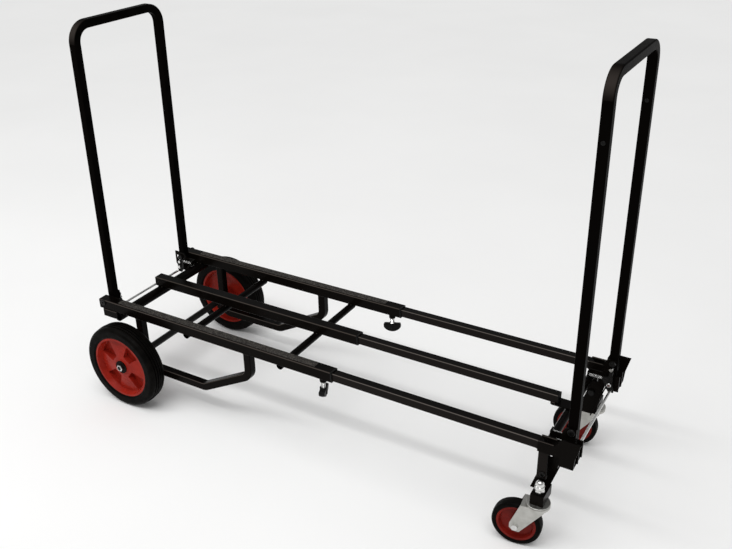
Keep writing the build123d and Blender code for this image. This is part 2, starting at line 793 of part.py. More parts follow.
# Shoulder bolts that the latch levers turn on
latch_ends = (("rear", rear_leg_x, rear_lever_z), ("front", front_leg_x, front_lever_z))
for name, leg_x, lever_z in latch_ends:
    with BuildPart() as lever_bolts:
        head_out = lever_in - running_clearance
        with BuildSketch(side_plane(1, head_out, inner_wall_out)):
            with Locations((leg_x, lever_z)):
                Circle(lever_bolt_diameter / 2)
        extrude(amount=inner_wall_out - head_out)
        with BuildSketch(side_plane(1, lever_out + running_clearance, inner_wall_in)):
            with Locations((leg_x, lever_z)):
                Circle(lever_bolt_head_radius)
        extrude(amount=inner_wall_in - lever_out - running_clearance)
        with BuildSketch(side_plane(1, head_out - lever_bolt_head_height, head_out)):
            with Locations((leg_x, lever_z)):
                Circle(lever_bolt_head_radius)
        extrude(amount=lever_bolt_head_height)
        bolt_round = lever_bolt_head_height * lever_bolt_round_share
        fillet(lever_bolts.faces().sort_by(Axis.Y)[0].edges(), bolt_round)
        mirror(about=Plane.XZ)
    save(lever_bolts, name + "_lever_bolts")

# Latch levers: nose under the lock pin, foot for the release rod, and a horn where there is a spring
horn_outer = horn_inner + horn_width
rear_rod_z = rail_top - rear_rod_drop
front_rod_z = rail_top - front_rod_drop
rear_nose_z = rear_pivot_z - lock_pin_arm - lock_pin_diameter / 2 - nose_clearance
front_nose_z = front_pivot_z - lock_pin_arm - lock_pin_diameter / 2 - nose_clearance
rear_horn = (
    (rear_leg_x + horn_outer, spring_z + horn_half_height),
    (rear_leg_x + horn_inner, spring_z + horn_half_height),
    (rear_leg_x + horn_inner, rear_lever_z + lever_neck),
)
with BuildPart() as rear_levers:
    for side, horn in ((-1.0, ()), (1.0, rear_horn)):
        with BuildSketch(side_plane(side, lever_in, lever_out)):
            Polygon(
                (rear_leg_x - lever_foot, rear_rod_z - lever_foot),
                (rear_leg_x + lever_foot, rear_rod_z - lever_foot),
                (rear_leg_x + horn_outer, rear_lever_z),
                *horn,
                (rear_leg_x + nose_root, rear_lever_z + lever_neck),
                (rear_leg_x + nose_front, rear_nose_z),
                (rear_leg_x - nose_back, rear_nose_z),
                (rear_leg_x - lever_back, rear_lever_z),
                align=None,
            )
            with Locations((rear_leg_x, rear_lever_z)):
                Circle(lever_bolt_diameter / 2 + running_clearance, mode=Mode.SUBTRACT)
            with Locations((rear_leg_x, rear_rod_z)):
                Circle(rod_diameter / 2, mode=Mode.SUBTRACT)
        extrude(amount=lever_thickness)
save(rear_levers, "rear_latch_levers")

front_rod_x = front_leg_x + front_rod_ahead
with BuildPart() as front_levers:
    with BuildSketch(side_plane(1, lever_in, lever_out)):
        Polygon(
            (front_rod_x + lever_foot, front_rod_z - lever_foot),
            (front_rod_x - lever_foot, front_rod_z - lever_foot),
            (front_leg_x - horn_outer, spring_z - horn_half_height),
            (front_leg_x - horn_outer, spring_z + horn_half_height),
            (front_leg_x - horn_inner, spring_z + horn_half_height),
            (front_leg_x - nose_root, spring_z + front_lever_neck),
            (front_leg_x - nose_front, front_nose_z),
            (front_leg_x + nose_back, front_nose_z),
            (front_leg_x + lever_back, front_lever_z),
            align=None,
        )
        with Locations((front_leg_x, front_lever_z)):
            Circle(lever_bolt_diameter / 2 + running_clearance, mode=Mode.SUBTRACT)
        with Locations((front_rod_x, front_rod_z)):
            Circle(rod_diameter / 2, mode=Mode.SUBTRACT)
    extrude(amount=lever_thickness)
    mirror(about=Plane.XZ)
save(front_levers, "front_latch_levers")

# Release rods from lever to lever across the cart
for name, rod_x, rod_z in (("rear", rear_leg_x, rear_rod_z), ("front", front_rod_x, front_rod_z)):
    with BuildPart() as release_rod:
        with BuildSketch(side_plane(1, -lever_out, lever_out)):
            with Locations((rod_x, rod_z)):
                Circle(rod_diameter / 2)
        extrude(amount=2 * lever_out)
    save(release_rod, name + "_release_rod")

# Latch springs, each one wire wound in half turns between lever horn and bracket tab; one at the rear,
# a pair at the front
coil_radius = (spring_coil_diameter - spring_wire) / 2


def coil_point(start_x, direction, turn):
    angle = 2 * pi * turn
    return Vector(
        start_x + direction * spring_pitch * turn,
        spring_y + coil_radius * cos(angle),
        spring_z + coil_radius * sin(angle),
    )


def coil_tangent(direction, turn):
    angle = 2 * pi * turn
    rise = spring_pitch / (2 * pi)
    return Vector(direction * rise, -coil_radius * sin(angle), coil_radius * cos(angle)).normalized()


def biarc_joint(p0, t0, p1, t1):
    """Point and direction where two equal-handed arcs from p0 along t0 to p1 along t1 meet."""
    chord = p1 - p0
    both = t0 + t1
    spread = 2 * (1 - t0.dot(t1))
    along = chord.dot(both)
    reach = (sqrt(along * along + spread * chord.dot(chord)) - along) / spread
    joint = (p0 + p1 + (t0 - t1) * reach) * 0.5
    return joint, (chord - both * reach).normalized()


samples_per_turn = 24
least_gap = spring_coil_diameter
samples = [coil_point(0, 1, k / samples_per_turn) for k in range(samples_per_turn * spring_turns + 1)]
for i in range(len(samples)):
    for j in range(i + samples_per_turn // 2, len(samples)):
        least_gap = min(least_gap, (samples[j] - samples[i]).length - spring_wire)
print("least gap of a latch spring to itself: %.2f mm" % least_gap)

spring_lead_in = spring_seat_gap + spring_wire / 2 + spring_lead
spring_ends = (
    ("rear_latch_spring", False, rear_leg_x + horn_outer + spring_lead_in, 1),
    ("front_latch_springs", True, front_leg_x - horn_outer - spring_lead_in, -1),
)
for name, paired, start_x, direction in spring_ends:
    with BuildPart() as latch_springs:
        with BuildLine() as coil:
            first = coil_point(start_x, direction, 0)
            heading = coil_tangent(direction, 0)
            Line(first - heading * spring_wire, first)
            for half in range(2 * spring_turns):
                p0 = coil_point(start_x, direction, half / 2)
                p1 = coil_point(start_x, direction, half / 2 + 0.5)
                t0 = coil_tangent(direction, half / 2)
                t1 = coil_tangent(direction, half / 2 + 0.5)
                joint, joint_heading = biarc_joint(p0, t0, p1, t1)
                TangentArc(p0, joint, tangent=t0)
                TangentArc(joint, p1, tangent=joint_heading)
            last = coil_point(start_x, direction, spring_turns)
            Line(last, last + coil_tangent(direction, spring_turns) * spring_wire)
        with BuildSketch(Plane(origin=coil.line @ 0, z_dir=coil.line % 0)):
            Circle(spring_wire / 2)
        sweep()
        if paired:
            mirror(about=Plane.XZ)
    save(latch_springs, name)

# Inner side tubes, bent down in front into the castor legs
for name, side in both_sides:
    with BuildPart() as inner_rail:
        with BuildLine(Plane(origin=(0, side * rail_y, 0), x_dir=(1, 0, 0), z_dir=(0, -1, 0))) as slide_line:
            FilletPolyline(
                (at(slide_rear_station), rail_mid),
                (at(castor_leg_station), rail_mid),
                (at(castor_leg_station), rail_top - castor_leg_drop),
                radius=castor_leg_bend,
            )
        with BuildSketch(Plane(origin=slide_line.line @ 0, x_dir=(0, 1, 0), z_dir=(1, 0, 0))):
            RectangleRounded(slide_size, slide_size, slide_corner)
            RectangleRounded(slide_bore, slide_bore, slide_bore_corner, mode=Mode.SUBTRACT)
        sweep()
        with BuildSketch(side_plane(side, slide_inner_face, slide_outer_face)):
            with Locations((at(arm_bolt_station), rail_top - arm_bolt_drop)):
                Circle(pivot_diameter / 2)
        extrude(amount=slide_size, mode=Mode.SUBTRACT)
    save(inner_rail, name + "_inner_rail")

# Inner tube of the centre rail
centre_slide_rear_station = centre_rail_front_station - slide_overlap
with BuildPart() as centre_inner_rail:
    with BuildSketch(Plane.YZ.offset(at(centre_slide_rear_station))):
        with Locations((0, rail_mid)):
            RectangleRounded(slide_size, slide_size, slide_corner)
            RectangleRounded(slide_bore, slide_bore, slide_bore_corner, mode=Mode.SUBTRACT)
    extrude(amount=centre_slide_front_station - centre_slide_rear_station)
save(centre_inner_rail, "centre_inner_rail")

# Plastic guides on the rear ends of the inner tubes, running in the outer rails
guide_size = rail_bore - 2 * slide_clearance
with BuildPart() as inner_rail_guides:
    for guide_y, guide_station in (
        (-rail_y, slide_rear_station),
        (0, centre_slide_rear_station),
        (rail_y, slide_rear_station),
    ):
        with BuildSketch(Plane.YZ.offset(at(guide_station))):
            with Locations((guide_y, rail_mid)):
                RectangleRounded(guide_size, guide_size, slide_corner)
        extrude(amount=-guide_length)
        with BuildSketch(Plane.YZ.offset(at(guide_station))):
            with Locations((guide_y, rail_mid)):
                RectangleRounded(slide_bore, slide_bore, slide_bore_corner)
        extrude(amount=guide_length)
save(inner_rail_guides, "inner_rail_guides")

# Plastic caps in the front end of the centre tube and in the feet of the castor legs
with BuildPart() as inner_tube_caps:
    with BuildSketch(Plane.YZ.offset(at(centre_slide_front_station))):
        with Locations((0, rail_mid)):
            RectangleRounded(slide_bore, slide_bore, slide_bore_corner)
    extrude(amount=-tube_cap_depth)
    with BuildSketch(Plane.YZ.offset(at(centre_slide_front_station))):
        with Locations((0, rail_mid)):
            RectangleRounded(slide_size, slide_size, slide_corner)
    extrude(amount=tube_cap_lip)
    with BuildSketch(Plane.XY.offset(rail_top - castor_leg_drop)):
        for side in (-1, 1):
            with Locations((at(castor_leg_station), side * rail_y)):
                RectangleRounded(slide_bore, slide_bore, slide_bore_corner)
    extrude(amount=arm_bolt_above_foot - pivot_diameter / 2 - foot_cap_clearance)
    with BuildSketch(Plane.XY.offset(rail_top - castor_leg_drop)):
        for side in (-1, 1):
            with Locations((at(castor_leg_station), side * rail_y)):
                RectangleRounded(slide_size, slide_size, slide_corner)
    extrude(amount=-tube_cap_lip)
save(inner_tube_caps, "inner_tube_caps")

# Round tube between the castor legs and the plate that ties the centre tube to it
front_cross_z = slide_bottom - support_plate_thickness - weld_gap - front_cross_diameter / 2
with BuildPart() as front_cross_tube:
    with BuildSketch(side_plane(1, -slide_inner_face, slide_inner_face)):
        with Locations((at(front_cross_station), front_cross_z)):
            Circle(front_cross_diameter / 2)
            Circle(front_cross_diameter / 2 - round_tube_wall, mode=Mode.SUBTRACT)
    extrude(amount=2 * slide_inner_face)
save(front_cross_tube, "front_cross_tube")

support_front_station = front_cross_station + support_plate_front_lap
with BuildPart() as centre_support_plate:
    with BuildSketch(Plane.XY.offset(slide_bottom)):
        with Locations((at((support_plate_rear_station + support_front_station) / 2), 0)):
            plate_length = support_front_station - support_plate_rear_station
            RectangleRounded(plate_length, support_plate_width, support_plate_corner)
    extrude(amount=-support_plate_thickness)
save(centre_support_plate, "centre_support_plate")

# Front brackets: three walls on one bottom plate, open in front for the handle's foot
front_bottom = rail_top - front_bracket_depth
front_crest = front_pivot_z + front_crest_rise
front_tab = front_leg_x - tab_rear - plate
wall_front = front_leg_x + front_wall_front
wall_tail = at(castor_leg_station) - front_wall_tail
tail_top = rail_top - front_wall_lower
for name, side in both_sides:
    with BuildPart() as front_bracket:
        with BuildSketch(side_plane(side, slide_inner_face - plate, slide_inner_face)):
            Polygon(
                (wall_tail, tail_top),
                (wall_tail, slide_bottom),
                (front_leg_x - front_shoulder_back, slide_bottom),
                (front_leg_x - front_floor_back, slide_bottom - front_step_drop),
                (front_leg_x - front_floor_back, front_bottom),
                (front_leg_x + front_floor_front, front_bottom),
                (front_leg_x + front_floor_front, rail_top - front_chin_drop),
                (front_leg_x + front_collar_front, rail_top - front_chin_drop),
                (front_leg_x + front_collar_front, front_crest),
                (front_leg_x - front_crest_back, front_crest),
                (front_leg_x - front_shoulder_back, front_crest - front_shoulder_drop),
                (front_leg_x - front_heel_back, front_crest - front_heel_drop),
                (front_leg_x - front_heel_back, tail_top),
                align=None,
            )
            with Locations((front_leg_x, front_pivot_z)):
                Circle(pivot_diameter / 2, mode=Mode.SUBTRACT)
        extrude(amount=plate)
        with BuildSketch(side_plane(side, inner_wall_in, inner_wall_out)):
            Polygon(
                (front_tab, spring_z + spring_tab_above),
                (front_tab, spring_z - spring_tab_below),
                (front_leg_x - front_shoulder_back, spring_z - spring_tab_below),
                (front_leg_x - front_floor_back, spring_z - front_tab_step),
                (front_leg_x - front_floor_back, front_bottom),
                (front_leg_x + front_floor_front, front_bottom),
                (front_leg_x + front_floor_front, rail_top - front_chin_drop),
                (front_leg_x + front_slot_front, rail_top - front_chin_drop),
                (front_leg_x + front_slot_front, front_crest),
                (front_leg_x - front_crest_back, front_crest),
                (front_leg_x - front_shoulder_back, front_crest - front_shoulder_drop),
                (front_leg_x - front_heel_back, front_crest - front_heel_drop),
                (front_leg_x - front_heel_back, spring_z + spring_tab_above),
                align=None,
            )
            with Locations((front_leg_x, front_pivot_z)):
                Circle(pivot_diameter / 2, mode=Mode.SUBTRACT)
            with Locations((front_leg_x, front_lever_z)):
                Circle(lever_bolt_diameter / 2, mode=Mode.SUBTRACT)
            with BuildLine():
                slot_outer = CenterArc((front_leg_x, front_pivot_z), lock_pin_arm + slot_radius, 270, 90)
                slot_inner = CenterArc((front_leg_x, front_pivot_z), lock_pin_arm - slot_radius, 270, 90)
                lower_end = (front_leg_x - slot_radius, front_pivot_z - lock_pin_arm)
                upper_end = (front_leg_x + lock_pin_arm, front_pivot_z + slot_radius)
                ThreePointArc(slot_outer @ 0, lower_end, slot_inner @ 0)
                ThreePointArc(slot_outer @ 1, upper_end, slot_inner @ 1)
            make_face(mode=Mode.SUBTRACT)
        extrude(amount=plate)
        with BuildSketch(side_plane(side, lever_in - spring_tab_reach, inner_wall_out)):
            with Locations((front_tab + plate / 2, spring_z + tab_offset)):
                Rectangle(plate, tab_height)
        extrude(amount=inner_wall_out - lever_in + spring_tab_reach)
        with BuildSketch(side_plane(side, inner_wall_in, slide_outer_face + plate)):
            floor_mid = front_leg_x + (front_cheek_front - front_floor_back) / 2
            with Locations((floor_mid, front_bottom + plate / 2)):
                Rectangle(front_cheek_front + front_floor_back, plate)
        extrude(amount=slide_outer_face + plate - inner_wall_in)
        with BuildSketch(side_plane(side, slide_outer_face, slide_outer_face + plate)):
            Polygon(
                (wall_tail, tail_top),
                (wall_tail, slide_bottom - front_cheek_drop),
                (front_leg_x - front_cheek_back, slide_bottom - front_cheek_drop),
                (front_leg_x - front_cheek_back, front_bottom),
                (front_leg_x + front_cheek_front, front_bottom),
                (front_leg_x + front_floor_front, rail_top - front_cheek_chin),
                (wall_front, rail_top + front_cheek_rise),
                (front_leg_x - front_cheek_crest, rail_top + front_cheek_rise),
                (front_leg_x - front_cheek_tail, tail_top),
                align=None,
            )
        extrude(amount=plate)
    save(front_bracket, name + "_front_bracket")

# Castor arms: slanted flanged plate beside the castor leg with a block for the castor's stem
arm_top_z = rail_top - arm_top_drop
arm_bolt_z = rail_top - arm_bolt_drop
arm_half = arm_width / 2
with BuildPart() as castor_arms:
    with BuildSketch(side_plane(1, slide_inner_face - plate, slide_inner_face)):
        Polygon(
            (at(arm_bottom_station) - arm_half, block_bottom),
            (at(arm_bottom_station) + arm_half, block_bottom),
            (at(arm_top_station) + arm_half, arm_top_z + arm_tab_rise),
            (at(arm_top_station) + arm_half - arm_tab_width, arm_top_z + arm_tab_rise),
            (at(arm_top_station) + arm_half - arm_tab_width, arm_top_z),
            (at(arm_top_station) - arm_half, arm_top_z),
            align=None,
        )
        with Locations((at(arm_bolt_station), arm_bolt_z)):
            Circle(pivot_diameter / 2, mode=Mode.SUBTRACT)
    extrude(amount=plate)
    with BuildSketch(side_plane(1, slide_inner_face - arm_flange, slide_inner_face)):
        Polygon(
            (at(arm_bottom_station) + arm_half - plate, block_bottom),
            (at(arm_bottom_station) + arm_half, block_bottom),
            (at(arm_top_station) + arm_half, arm_top_z),
            (at(arm_top_station) + arm_half - plate, arm_top_z),
            align=None,
        )
    extrude(amount=arm_flange)
    with BuildSketch(Plane.XY.offset(block_bottom)):
        with Locations((castor_x, (slide_inner_face + block_out) / 2)):
            Rectangle(castor_block_length, block_out - slide_inner_face)
        with Locations((castor_x, castor_y)):
            Circle(castor_stem_diameter / 2, mode=Mode.SUBTRACT)
    extrude(amount=castor_block_height)
    mirror(about=Plane.XZ)
save(castor_arms, "castor_arms")

# Bolts that hold the arms to the castor legs, and their nuts
with BuildPart() as castor_arm_bolts:
    bolt_in = slide_inner_face - plate - nut_height
    with BuildSketch(side_plane(1, bolt_in, slide_outer_face)):
        with Locations((at(arm_bolt_station), arm_bolt_z)):
            Circle(pivot_diameter / 2)
    extrude(amount=slide_outer_face - bolt_in)
    with BuildSketch(side_plane(1, slide_outer_face, slide_outer_face + button_head_height)):
        with Locations((at(arm_bolt_station), arm_bolt_z)):
            Circle(arm_bolt_head_radius)
    extrude(amount=button_head_height)
    fillet(castor_arm_bolts.faces().sort_by(Axis.Y)[-1].edges(), head_round)
    head_face = slide_outer_face + button_head_height
    with BuildSketch(side_plane(1, head_face - socket_depth, head_face)):
        with Locations((at(arm_bolt_station), arm_bolt_z)):
            RegularPolygon(socket_radius, 6)
    extrude(amount=socket_depth, mode=Mode.SUBTRACT)
    with BuildSketch(side_plane(1, bolt_in, slide_inner_face - plate)):
        with Locations((at(arm_bolt_station), arm_bolt_z)):
            RegularPolygon(nut_radius, 6)
            Circle(pivot_diameter / 2 + thread_gap, mode=Mode.SUBTRACT)
    extrude(amount=nut_height)
    mirror(about=Plane.XZ)
save(castor_arm_bolts, "castor_arm_bolts")

# Castor stems through the blocks, each with its upper race, then hex nuts and cap nuts
hex_top = block_top + castor_hex_height
cap_base = castor_cap_height - castor_cap_radius
dome_width = castor_cap_radius - castor_cap_step
dome_radius = (dome_width**2 + castor_cap_radius**2) / (2 * castor_cap_radius)
dome_start = degrees(asin((dome_radius - castor_cap_radius) / dome_radius))
with BuildPart() as castor_stems:
    stem_bottom = crown_bottom - castor_play - castor_stem_head_height
    with BuildSketch(Plane.XY.offset(stem_bottom)):
        with Locations((castor_x, -castor_y), (castor_x, castor_y)):
            Circle(castor_stem_head_radius)
    extrude(amount=castor_stem_head_height)
    with BuildSketch(Plane.XY.offset(stem_bottom)):
        with Locations((castor_x, -castor_y), (castor_x, castor_y)):
            Circle(castor_stem_diameter / 2)
    extrude(amount=hex_top + cap_base - stem_bottom)
    with BuildSketch(Plane.XY.offset(race_bottom)):
        with Locations((castor_x, -castor_y), (castor_x, castor_y)):
            Circle(castor_race_radius)
    extrude(amount=castor_race_height)
    stem_rims = castor_stems.edges().filter_by(GeomType.CIRCLE)
    race_rims = stem_rims.filter_by(lambda edge: edge.radius > castor_stem_head_radius)
    fillet(race_rims, castor_race_round)
save(castor_stems, "castor_stems")

with BuildPart() as castor_stem_nuts:
    with BuildSketch(Plane.XY.offset(block_top)):
        with Locations((castor_x, castor_y)):
            RegularPolygon(castor_hex_radius, 6)
            Circle(castor_stem_diameter / 2, mode=Mode.SUBTRACT)
    extrude(amount=castor_hex_height - thread_gap)
    with BuildSketch(Plane(origin=(castor_x, castor_y, hex_top), x_dir=(1, 0, 0), z_dir=(0, -1, 0))):
        with BuildLine():
            Polyline(
                (0, cap_base),
                (castor_stem_diameter / 2, cap_base),
                (castor_stem_diameter / 2, 0),
                (castor_cap_radius - castor_cap_chamfer, 0),
                (castor_cap_radius, castor_cap_chamfer),
                (castor_cap_radius, cap_base - 2 * castor_cap_step),
                (dome_width, cap_base - castor_cap_step),
                (dome_width, cap_base),
            )
            CenterArc((0, castor_cap_height - dome_radius), dome_radius, dome_start, 90 - dome_start)
            Line((0, castor_cap_height), (0, cap_base))
        make_face()
    revolve(axis=Axis((castor_x, castor_y, 0), (0, 0, 1)))
    mirror(about=Plane.XZ)
save(castor_stem_nuts, "castor_stem_nuts")

castor_half = castor_width / 2
castor_rim_half = castor_half - castor_tyre_inset
castor_shoulder_top = castor_radius - castor_tyre_crown
castor_shoulder_start = castor_shoulder_top - castor_tyre_shoulder
castor_shoulder_side = castor_tyre_shoulder * (1 - cos(pi / 4))

# Castors: pressed fork that swivels on the stem, dished red wheel with a rubber tyre
for name, side, turn in (("near", -1.0, near_castor_turn), ("far", 1.0, far_castor_turn)):
    ahead = Vector(cos(radians(turn)), sin(radians(turn)), 0)
    across = Vector(-sin(radians(turn)), cos(radians(turn)), 0)
    pivot = Vector(castor_x, side * castor_y, 0)
    hub_centre = pivot - ahead * castor_trail + Vector(0, 0, castor_radius)
    fork_plan = Plane(origin=pivot, x_dir=ahead, z_dir=(0, 0, 1))
    wheel_plan = Plane(origin=hub_centre, x_dir=across, z_dir=ahead)
    spin_axis = Axis(hub_centre, across)
    with BuildPart() as castor_fork:
        with BuildSketch(fork_plan.offset(crown_bottom)):
            with Locations(((fork_crown_front - fork_crown_rear) / 2, 0)):
                Rectangle(fork_crown_front + fork_crown_rear, 2 * fork_out)
            Circle(castor_race_radius)
            Circle(castor_stem_diameter / 2 + running_clearance, mode=Mode.SUBTRACT)
        extrude(amount=castor_fork_plate)
        with BuildSketch(fork_plan.offset(crown_top)):
            Circle(castor_race_radius)
            Circle(castor_stem_diameter / 2 + running_clearance, mode=Mode.SUBTRACT)
        extrude(amount=castor_race_height)
        for cheek in (-1, 1):
            cheek_origin = pivot + across * max(cheek * fork_in, cheek * fork_out)
            with BuildSketch(Plane(origin=cheek_origin, x_dir=ahead, z_dir=-across)):
                Polygon(
                    (-fork_crown_rear, crown_top),
                    (-castor_trail - fork_foot_rear, castor_radius + fork_foot_rise),
                    (-castor_trail - fork_foot_rear, castor_radius + fork_foot_corner - fork_foot_drop),
                    (-castor_trail + fork_foot_corner - fork_foot_rear, castor_radius - fork_foot_drop),
                    (-castor_trail + fork_foot_front, castor_radius - fork_foot_drop),
                    (fork_crown_front, crown_bottom - fork_lip),
                    (fork_crown_front, crown_top),
                    align=None,
                )
                with Locations((-castor_trail, castor_radius)):
                    Circle(castor_axle_diameter / 2, mode=Mode.SUBTRACT)
            extrude(amount=castor_fork_plate)
    save(castor_fork, name + "_castor_fork")

    with BuildPart() as castor_axle:
        with BuildSketch(Plane(origin=hub_centre - across * fork_out, x_dir=ahead, z_dir=across)):
            Circle(castor_axle_diameter / 2)
        extrude(amount=2 * fork_out)
        for end_plane in (
            Plane(origin=hub_centre + across * fork_out, x_dir=ahead, z_dir=across),
            Plane(origin=hub_centre - across * fork_out, x_dir=ahead, z_dir=-across),
        ):
            with BuildSketch(end_plane):
                RegularPolygon(castor_axle_nut_radius, 6)
            extrude(amount=castor_axle_nut_height)
    save(castor_axle, name + "_castor_axle")

    with BuildPart() as castor_tyre:
        with BuildSketch(wheel_plan):
            with BuildLine():
                Polyline(
                    (-castor_half, castor_shoulder_start),
                    (-castor_half, castor_rim_radius + castor_tyre_bead),
                    (-castor_rim_half, castor_rim_radius),
                    (castor_rim_half, castor_rim_radius),
                    (castor_half, castor_rim_radius + castor_tyre_bead),
                    (castor_half, castor_shoulder_start),
                )
                ThreePointArc(
                    (castor_half, castor_shoulder_start),
                    (castor_half - castor_shoulder_side, castor_shoulder_top - castor_shoulder_side),
                    (castor_half - castor_tyre_shoulder, castor_shoulder_top),
                )
                Polyline(
                    (castor_half - castor_tyre_shoulder, castor_shoulder_top),
                    (0, castor_radius),
                    (castor_tyre_shoulder - castor_half, castor_shoulder_top),
                )
                ThreePointArc(
                    (castor_tyre_shoulder - castor_half, castor_shoulder_top),
                    (castor_shoulder_side - castor_half, castor_shoulder_top - castor_shoulder_side),
                    (-castor_half, castor_shoulder_start),
                )
            make_face()
        revolve(axis=spin_axis)
    save(castor_tyre, name + "_castor_tyre")

    with BuildPart() as castor_hub:
        bore = castor_axle_diameter / 2 + running_clearance
        boss_half = fork_in - castor_play
        boss_edge = bore + castor_boss_wall
        rim_edge = castor_rim_radius - castor_rim_wall
        with BuildSketch(wheel_plan):
            with BuildLine():
                Polyline(
                    (-boss_half, bore),
                    (-boss_half, boss_edge),
                    (-castor_web / 2, boss_edge + castor_boss_flare),
                    (-castor_web / 2, rim_edge - castor_rim_slope),
                    (-castor_rim_half, rim_edge),
                    (-castor_rim_half, castor_rim_radius),
                    (castor_rim_half, castor_rim_radius),
                    (castor_rim_half, rim_edge),
                    (castor_web / 2, rim_edge - castor_rim_slope),
                    (castor_web / 2, boss_edge + castor_boss_flare),
                    (boss_half, boss_edge),
                    (boss_half, bore),
                    close=True,
                )
            make_face()
        revolve(axis=spin_axis)
    save(castor_hub, name + "_castor_hub")

# Threaded bosses under the outer rails for the clamp screws
with BuildPart() as clamp_bosses:
    with BuildSketch(Plane.XY.offset(rail_bottom - clamp_boss_height)):
        with Locations((clamp_x, -rail_y), (clamp_x, rail_y)):
            Circle(clamp_boss_radius)
    extrude(amount=clamp_boss_height, taper=-clamp_boss_flare)
    with BuildSketch(Plane.XY.offset(rail_bottom - clamp_boss_height)):
        with Locations((clamp_x, -rail_y), (clamp_x, rail_y)):
            Circle(clamp_screw_diameter / 2 + running_clearance)
    extrude(amount=clamp_boss_height, mode=Mode.SUBTRACT)
save(clamp_bosses, "clamp_bosses")

# Clamp screws with wing knobs, which press on the inner tubes
knob_top = rail_bottom - clamp_boss_height - clamp_screw_shown
screw_foot = knob_top - knob_height / 2
for name, side, turn in (("near", -1.0, near_knob_turn), ("far", 1.0, far_knob_turn)):
    with BuildPart() as clamp_screw:
        with BuildSketch(Plane.XY.offset(screw_foot)):
            with Locations((clamp_x, side * rail_y)):
                Circle(clamp_screw_diameter / 2)
        extrude(amount=slide_bottom - clamp_tip_gap - screw_foot)
    save(clamp_screw, name + "_clamp_screw")

    wing = Vector(cos(radians(turn)), sin(radians(turn)), 0)
    wing_normal = Vector(sin(radians(turn)), -cos(radians(turn)), 0)
    wing_origin = Vector(clamp_x, side * rail_y, knob_top - knob_height)
    with BuildPart() as clamp_knob:
        with BuildSketch(Plane(origin=wing_origin, x_dir=wing, z_dir=wing_normal)) as wing_outline:
            with BuildLine():
                Polyline(
                    (knob_width / 2, knob_waist),
                    (knob_width / 2, knob_height),
                    (-knob_width / 2, knob_height),
                    (-knob_width / 2, knob_waist),
                )
                ThreePointArc((-knob_width / 2, knob_waist), (0, 0), (knob_width / 2, knob_waist))
            make_face()
            fillet(wing_outline.vertices(), radius=knob_corner)
        extrude(amount=knob_thickness / 2, both=True, taper=knob_draft)
        with BuildSketch(Plane.XY.offset(screw_foot - knob_height / 4)):
            with Locations((clamp_x, side * rail_y)):
                Circle(knob_hub_radius)
        extrude(amount=knob_height * 3 / 4)
        with BuildSketch(Plane.XY.offset(screw_foot)):
            with Locations((clamp_x, side * rail_y)):
                Circle(clamp_screw_diameter / 2)
        extrude(amount=knob_height, mode=Mode.SUBTRACT)
    save(clamp_knob, name + "_clamp_knob")
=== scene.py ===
# Folding stage platform cart: finishes, weld beads, threads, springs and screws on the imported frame.
# Metres throughout. +X runs from the big wheels to the castors, the near side is -Y, the floor is Z 0.
import json
import math

import bmesh
import bpy
from mathutils import Matrix, Vector


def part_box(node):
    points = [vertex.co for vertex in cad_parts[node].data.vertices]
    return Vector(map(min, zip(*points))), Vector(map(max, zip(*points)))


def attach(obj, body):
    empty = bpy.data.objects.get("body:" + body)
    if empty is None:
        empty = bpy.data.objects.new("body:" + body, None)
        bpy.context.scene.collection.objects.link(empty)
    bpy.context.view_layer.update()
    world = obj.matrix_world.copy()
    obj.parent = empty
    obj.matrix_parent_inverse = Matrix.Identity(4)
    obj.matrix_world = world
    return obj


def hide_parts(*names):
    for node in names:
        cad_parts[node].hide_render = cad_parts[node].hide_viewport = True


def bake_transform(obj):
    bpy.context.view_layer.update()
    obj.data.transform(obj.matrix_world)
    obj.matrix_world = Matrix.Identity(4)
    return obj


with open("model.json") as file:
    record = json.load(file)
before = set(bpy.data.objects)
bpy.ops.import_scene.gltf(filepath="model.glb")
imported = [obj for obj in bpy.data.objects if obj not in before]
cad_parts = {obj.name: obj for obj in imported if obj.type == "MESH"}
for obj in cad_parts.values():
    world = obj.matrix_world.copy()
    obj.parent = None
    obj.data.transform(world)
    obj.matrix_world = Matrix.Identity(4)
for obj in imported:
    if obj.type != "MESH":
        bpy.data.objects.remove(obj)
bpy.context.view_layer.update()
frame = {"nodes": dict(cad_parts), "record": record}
nodes = frame["nodes"]

# Camera at the photograph's viewing angle
image_width = 732
focal_pixels = 876.8
sensor_width = 36.0
camera_place = Vector((0.9801, -1.5402, 1.3555))
camera_yaw = math.radians(31.32)
camera_pitch = math.radians(26.69)
camera_roll = math.radians(1.28)
camera_shift = (0.0125, -0.0163)
farthest_view = 200.0

# Floor, and light: an even sky, a broad overhead lamp and a long strip that draws the tubes' edges
floor_half = 40.0
sky_strength = 0.44
overhead_place = (0.3, -0.9, 3.4)
overhead_target = (0.0, 0.0, 0.4)
overhead_strength = 1.35
overhead_spread = math.radians(50.0)
strip_place = (-0.9, -1.4, 2.3)
strip_target = (-0.9, 0.0, 0.2)
strip_length = 2.8
strip_width = 0.16
strip_watts = 19.0

# Finishes: the range of noise that roughness follows, and how strongly the painted highlight lightens
# the enamel's upper edges
noise_low = 0.3
noise_high = 0.7
painted_highlight_gain = 2.6

# Tubes along a path: a heading that rises more than this counts as upright
upright_rise = 0.9

